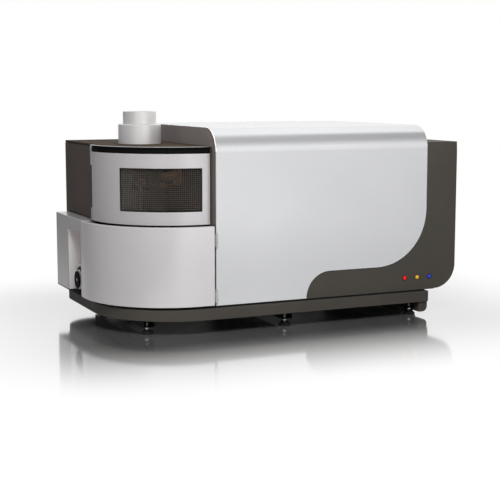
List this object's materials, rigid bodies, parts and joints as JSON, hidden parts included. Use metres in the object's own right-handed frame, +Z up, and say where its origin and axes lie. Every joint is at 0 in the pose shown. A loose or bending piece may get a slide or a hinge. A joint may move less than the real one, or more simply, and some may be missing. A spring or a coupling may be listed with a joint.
{
  "type": "inductively coupled plasma spectrometer",
  "caption": "Benchtop plasma emission spectrometer with a curved windowed plasma tower, a curved sample bay door, an exhaust chimney and a wrapped cover on a dark cabinet.",
  "frame": {"origin": "middle of the overall footprint, on the bench surface under the feet", "axes": "+X to the right along the cabinet's length, +Y from the front to the back, +Z up"},
  "size_m": [1.38, 0.782, 0.7761],
  "materials": {
    "dark_paint": "satin warm dark grey powder coat",
    "side_paint": "satin dark brown grey powder coat",
    "roof_paint": "matt olive brown powder coat",
    "silver_paint": "satin silver paint",
    "door_paint": "satin silver grey paint",
    "gloss_black": "gloss black trim",
    "black_steel": "matt black steel",
    "black_rubber": "matt black rubber",
    "bright_steel": "brushed",
    "stainless": "brushed stainless steel",
    "dark_glass": "dark tinted safety glass",
    "copper": "bright copper tube",
    "quartz": "clear quartz",
    "ceramic": "white fluoropolymer",
    "satin_white": "satin white",
    "cast_aluminium": "cast and machined",
    "board_green": "solder mask",
    "black_plastic": "moulded black",
    "clear_tube": "clear pump tubing",
    "button_red": "gloss red",
    "button_yellow": "gloss amber",
    "button_blue": "gloss blue"
  },
  "bodies": {
    "chassis": {"base_plinth": "dark_paint", "bearer_left": "black_steel", "bearer_middle": "black_steel", "bearer_right": "black_steel", "floor_plate": "black_steel", "front_panel": "dark_paint", "right_panel": "dark_paint", "top_panel": "dark_paint", "rear_panel": "side_paint", "end_cheek": "side_paint", "hood_cover": "silver_paint", "hood_end_plate": "dark_paint", "tower_top": "roof_paint", "tower_band": "gloss_black", "tower_side_panel": "side_paint", "bay_wall": "stainless", "tower_shelf": "black_steel", "side_box": "door_paint", "pump_recess": "stainless", "exhaust_ring": "satin_white", "exhaust_collar": "satin_white", "window_hinge_upper": "bright_steel", "window_hinge_lower": "bright_steel", "lower_hinge_upper": "bright_steel", "lower_hinge_lower": "bright_steel", "torch": "quartz", "torch_mount": "ceramic", "load_coil": "copper", "coil_mount": "ceramic", "optics_interface": "cast_aluminium", "spray_chamber": "quartz", "nebulizer": "quartz", "pump_body": "black_plastic", "pump_tube": "clear_tube", "button_carrier": "black_plastic", "optical_chamber": "cast_aluminium", "detector_module": "cast_aluminium", "rf_generator": "cast_aluminium", "power_supply": "stainless", "control_board": "board_green", "fan_housing": "black_plastic", "mains_inlet": "black_plastic", "service_ports": "bright_steel"},
    "window_door_body": {"window_door": "door_paint", "window_glass": "dark_glass", "window_screen": "stainless"},
    "lower_door_body": {"lower_door": "door_paint"},
    "pump_rotor_body": {"pump_rotor": "black_plastic"},
    "pump_clamp_body": {"pump_clamp": "black_plastic"},
    "fan_rotor_body": {"fan_rotor": "black_plastic"},
    "mains_switch_body": {"mains_switch": "black_plastic"},
    "button_red_body": {"button_red": "button_red"},
    "button_yellow_body": {"button_yellow": "button_yellow"},
    "button_blue_body": {"button_blue": "button_blue"},
    "foot_front_left_body": {"levelling_foot_front_left": "black_rubber"},
    "foot_front_middle_body": {"levelling_foot_front_middle": "black_rubber"},
    "foot_front_right_body": {"levelling_foot_front_right": "black_rubber"},
    "foot_rear_left_body": {"levelling_foot_rear_left": "black_rubber"},
    "foot_rear_middle_body": {"levelling_foot_rear_middle": "black_rubber"},
    "foot_rear_right_body": {"levelling_foot_rear_right": "black_rubber"}
  },
  "joints": [
    {"name": "window_door_hinge", "type": "hinge", "parent": "chassis", "child": "window_door_body", "pos_m": [-0.651, -0.045, 0.511], "axis": [0, 0, 1], "range_deg": [-110, 0]},
    {"name": "lower_door_hinge", "type": "hinge", "parent": "chassis", "child": "lower_door_body", "pos_m": [-0.3106, -0.3846, 0.242], "axis": [0, 0, 1], "range_deg": [0, 120]},
    {"name": "pump_rotor_spin", "type": "hinge", "parent": "chassis", "child": "pump_rotor_body", "pos_m": [-0.6596, 0.069, 0.153], "axis": [1, 0, 0], "continuous": true},
    {"name": "pump_clamp_hinge", "type": "hinge", "parent": "chassis", "child": "pump_clamp_body", "pos_m": [-0.6596, 0.125, 0.187], "axis": [-1, 0, 0], "range_deg": [0, 60]},
    {"name": "fan_spin", "type": "hinge", "parent": "chassis", "child": "fan_rotor_body", "pos_m": [0.54, 0.35, 0.48], "axis": [0, 1, 0], "continuous": true},
    {"name": "mains_switch_rock", "type": "hinge", "parent": "chassis", "child": "mains_switch_body", "pos_m": [0.11, 0.3668, 0.2125], "axis": [1, 0, 0], "range_deg": [-18, 0]},
    {"name": "button_red_press", "type": "slide", "parent": "chassis", "child": "button_red_body", "axis": [0, 1, 0], "range_m": [0, 0.003], "stiffness_N_per_m": 400, "springref_m": -0.001},
    {"name": "button_yellow_press", "type": "slide", "parent": "chassis", "child": "button_yellow_body", "axis": [0, 1, 0], "range_m": [0, 0.003], "stiffness_N_per_m": 400, "springref_m": -0.001},
    {"name": "button_blue_press", "type": "slide", "parent": "chassis", "child": "button_blue_body", "axis": [0, 1, 0], "range_m": [0, 0.003], "stiffness_N_per_m": 400, "springref_m": -0.001},
    {"name": "foot_front_left_screw", "type": "slide", "parent": "chassis", "child": "foot_front_left_body", "axis": [0, 0, 1], "range_m": [-0.012, 0]},
    {"name": "foot_front_middle_screw", "type": "slide", "parent": "chassis", "child": "foot_front_middle_body", "axis": [0, 0, 1], "range_m": [-0.012, 0]},
    {"name": "foot_front_right_screw", "type": "slide", "parent": "chassis", "child": "foot_front_right_body", "axis": [0, 0, 1], "range_m": [-0.012, 0]},
    {"name": "foot_rear_left_screw", "type": "slide", "parent": "chassis", "child": "foot_rear_left_body", "axis": [0, 0, 1], "range_m": [-0.012, 0]},
    {"name": "foot_rear_middle_screw", "type": "slide", "parent": "chassis", "child": "foot_rear_middle_body", "axis": [0, 0, 1], "range_m": [-0.012, 0]},
    {"name": "foot_rear_right_screw", "type": "slide", "parent": "chassis", "child": "foot_rear_right_body", "axis": [0, 0, 1], "range_m": [-0.012, 0]}
  ]
}
